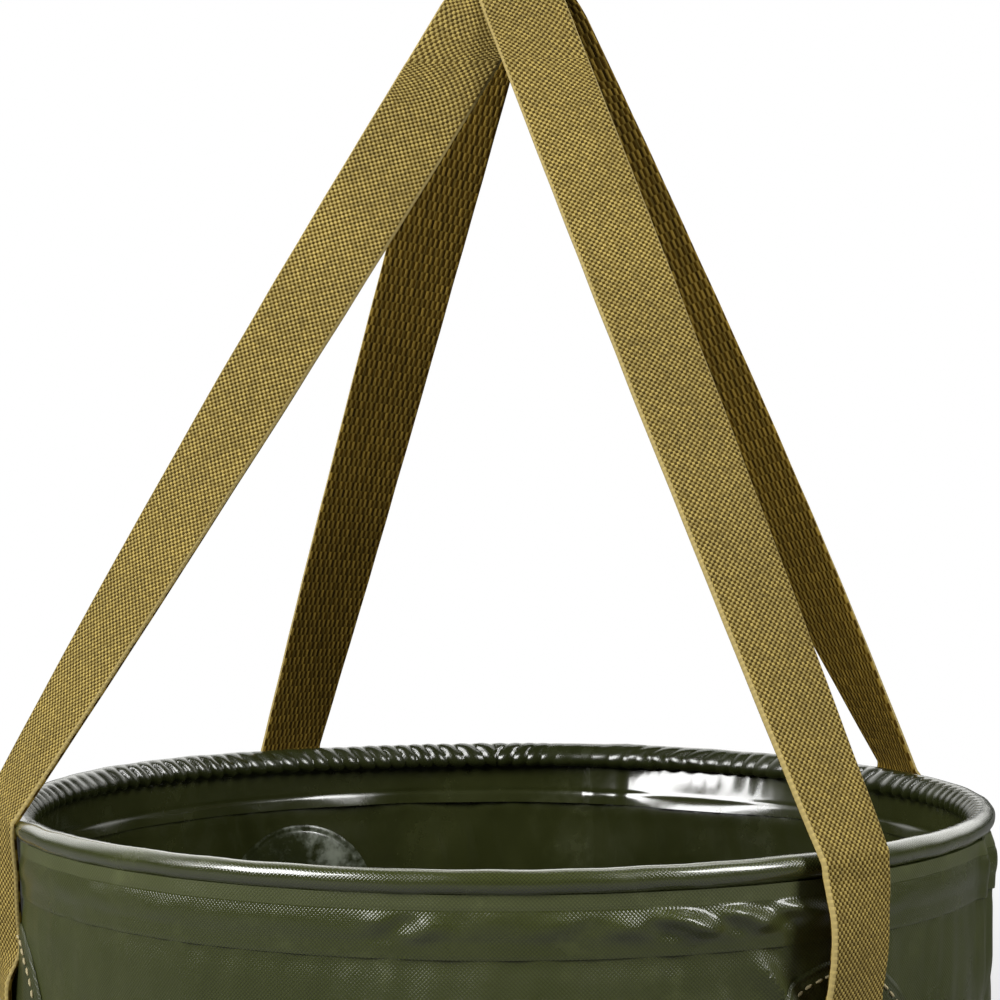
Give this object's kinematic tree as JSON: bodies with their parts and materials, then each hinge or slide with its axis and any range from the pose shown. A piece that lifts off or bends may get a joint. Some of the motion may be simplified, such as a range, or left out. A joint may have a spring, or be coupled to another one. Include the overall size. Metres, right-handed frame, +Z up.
{
  "type": "fruit picking bag",
  "caption": "Round collapsible fruit picking bag of coated fabric, held open by a wire rim hoop and carried by webbing slings that cross at a sewn crown.",
  "frame": {"origin": "centre of the base's underside, on the ground", "axes": "+Z up through the mouth to the crown, -Y towards the front, +X to the right seen from the front"},
  "size_m": [0.3, 0.3, 0.6119],
  "materials": {
    "shell_fabric": "semi-gloss coated fabric with a fine diagonal grain",
    "hem_fabric": "glossy coated fabric, rolled and welded",
    "lining_fabric": "glossy smooth inner face of the coated fabric",
    "foot_band": "semi-gloss coated fabric",
    "webbing": "matte woven webbing",
    "thread": "matte twisted thread",
    "board": "matte extruded sheet",
    "hoop_wire": "drawn spring wire",
    "sleeve": "crimped tube"
  },
  "bodies": {
    "base": {"base_disc": "shell_fabric", "base_board": "board", "base_liner": "lining_fabric", "base_band": "foot_band", "wall_lower_panel": "shell_fabric"},
    "middle": {"wall_middle_panel": "shell_fabric"},
    "rim": {"wall_upper_panel": "shell_fabric", "rim_hoop": "hoop_wire", "hoop_sleeve": "sleeve", "rim_roll": "hem_fabric", "hem_band": "hem_fabric", "hem_flap": "lining_fabric", "patch_front_right": "shell_fabric", "patch_back_right": "shell_fabric", "patch_back_left": "shell_fabric", "patch_front_left": "shell_fabric", "backing_front_right": "lining_fabric", "backing_back_right": "lining_fabric", "backing_back_left": "lining_fabric", "backing_front_left": "lining_fabric", "tail_front_right": "webbing", "tail_back_right": "webbing", "tail_back_left": "webbing", "tail_front_left": "webbing", "leg_front_right": "webbing", "leg_back_right": "webbing", "leg_back_left": "webbing", "leg_front_left": "webbing", "patch_stitches": "thread", "tail_stitches": "thread"},
    "crown": {"crown_strap_over": "webbing", "crown_strap_under": "webbing", "crown_stitches": "thread"}
  },
  "joints": [
    {"name": "rim_collapse", "type": "slide", "parent": "base", "child": "rim", "axis": [0, 0, 1], "range_m": [-0.216, 0]},
    {"name": "middle_fold", "type": "slide", "parent": "base", "child": "middle", "axis": [0, 0, 1], "range_m": [-0.108, 0]},
    {"name": "crown_drop", "type": "slide", "parent": "rim", "child": "crown", "axis": [0, 0, 1], "range_m": [-0.16, 0], "deforming": ["leg_front_right", "leg_back_right", "leg_back_left", "leg_front_left"]}
  ],
  "couplings": [
    {"joint": "middle_fold", "follows": "rim_collapse", "ratio": 0.5}
  ]
}
